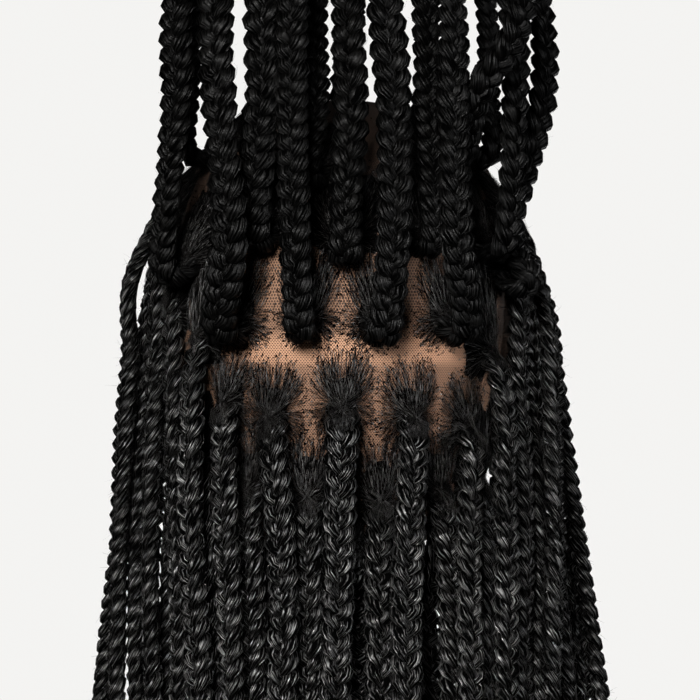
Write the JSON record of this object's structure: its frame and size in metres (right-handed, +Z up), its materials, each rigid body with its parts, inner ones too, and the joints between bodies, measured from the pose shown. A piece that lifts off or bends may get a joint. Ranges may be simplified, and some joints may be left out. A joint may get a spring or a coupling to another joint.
{
  "type": "braid wig",
  "caption": "Box-braid wig on a full lace cap: side and nape braids hang free, and the crown braids are lifted into a plain tie.",
  "frame": {"origin": "the crown, where the cap sits on the top of a head", "axes": "+Z up, +Y the way the wearer faces, +X to the wearer's right"},
  "size_m": [0.2329, 0.2206, 0.9486],
  "materials": {
    "hair": "braided synthetic hair, near black with grey sheen",
    "lace": "fine tan-brown net",
    "tie": "plain knitted elastic"
  },
  "bodies": {
    "root": {"lace_cap": "lace", "back_braid_01": "hair", "back_braid_02": "hair", "back_braid_03": "hair", "back_braid_04": "hair", "back_braid_05": "hair", "nape_braid_01": "hair", "nape_braid_02": "hair", "nape_braid_03": "hair", "nape_braid_04": "hair", "nape_braid_05": "hair", "nape_braid_06": "hair", "nape_braid_07": "hair", "nape_braid_08": "hair", "nape_braid_09": "hair", "nape_braid_10": "hair", "nape_braid_11": "hair", "left_braid_01": "hair", "left_braid_02": "hair", "left_braid_03": "hair", "left_braid_04": "hair", "left_braid_05": "hair", "left_braid_06": "hair", "left_braid_07": "hair", "left_braid_08": "hair", "left_braid_09": "hair", "left_braid_10": "hair", "right_braid_01": "hair", "right_braid_02": "hair", "right_braid_03": "hair", "right_braid_04": "hair", "right_braid_05": "hair", "right_braid_06": "hair", "right_braid_07": "hair", "right_braid_08": "hair", "right_braid_09": "hair", "right_braid_10": "hair", "lifted_braid_01": "hair", "lifted_braid_02": "hair", "lifted_braid_03": "hair", "lifted_braid_04": "hair", "lifted_braid_05": "hair", "lifted_braid_06": "hair", "lifted_braid_07": "hair", "lifted_braid_08": "hair", "lifted_braid_09": "hair", "lifted_braid_10": "hair", "lifted_braid_11": "hair", "lifted_braid_12": "hair", "lifted_braid_13": "hair", "lifted_braid_14": "hair", "lifted_braid_15": "hair", "lifted_braid_16": "hair", "lifted_braid_17": "hair", "lifted_braid_18": "hair", "lifted_braid_19": "hair", "lifted_braid_20": "hair", "lifted_braid_21": "hair", "lifted_braid_22": "hair", "hair_tie": "tie"}
  },
  "joints": []
}
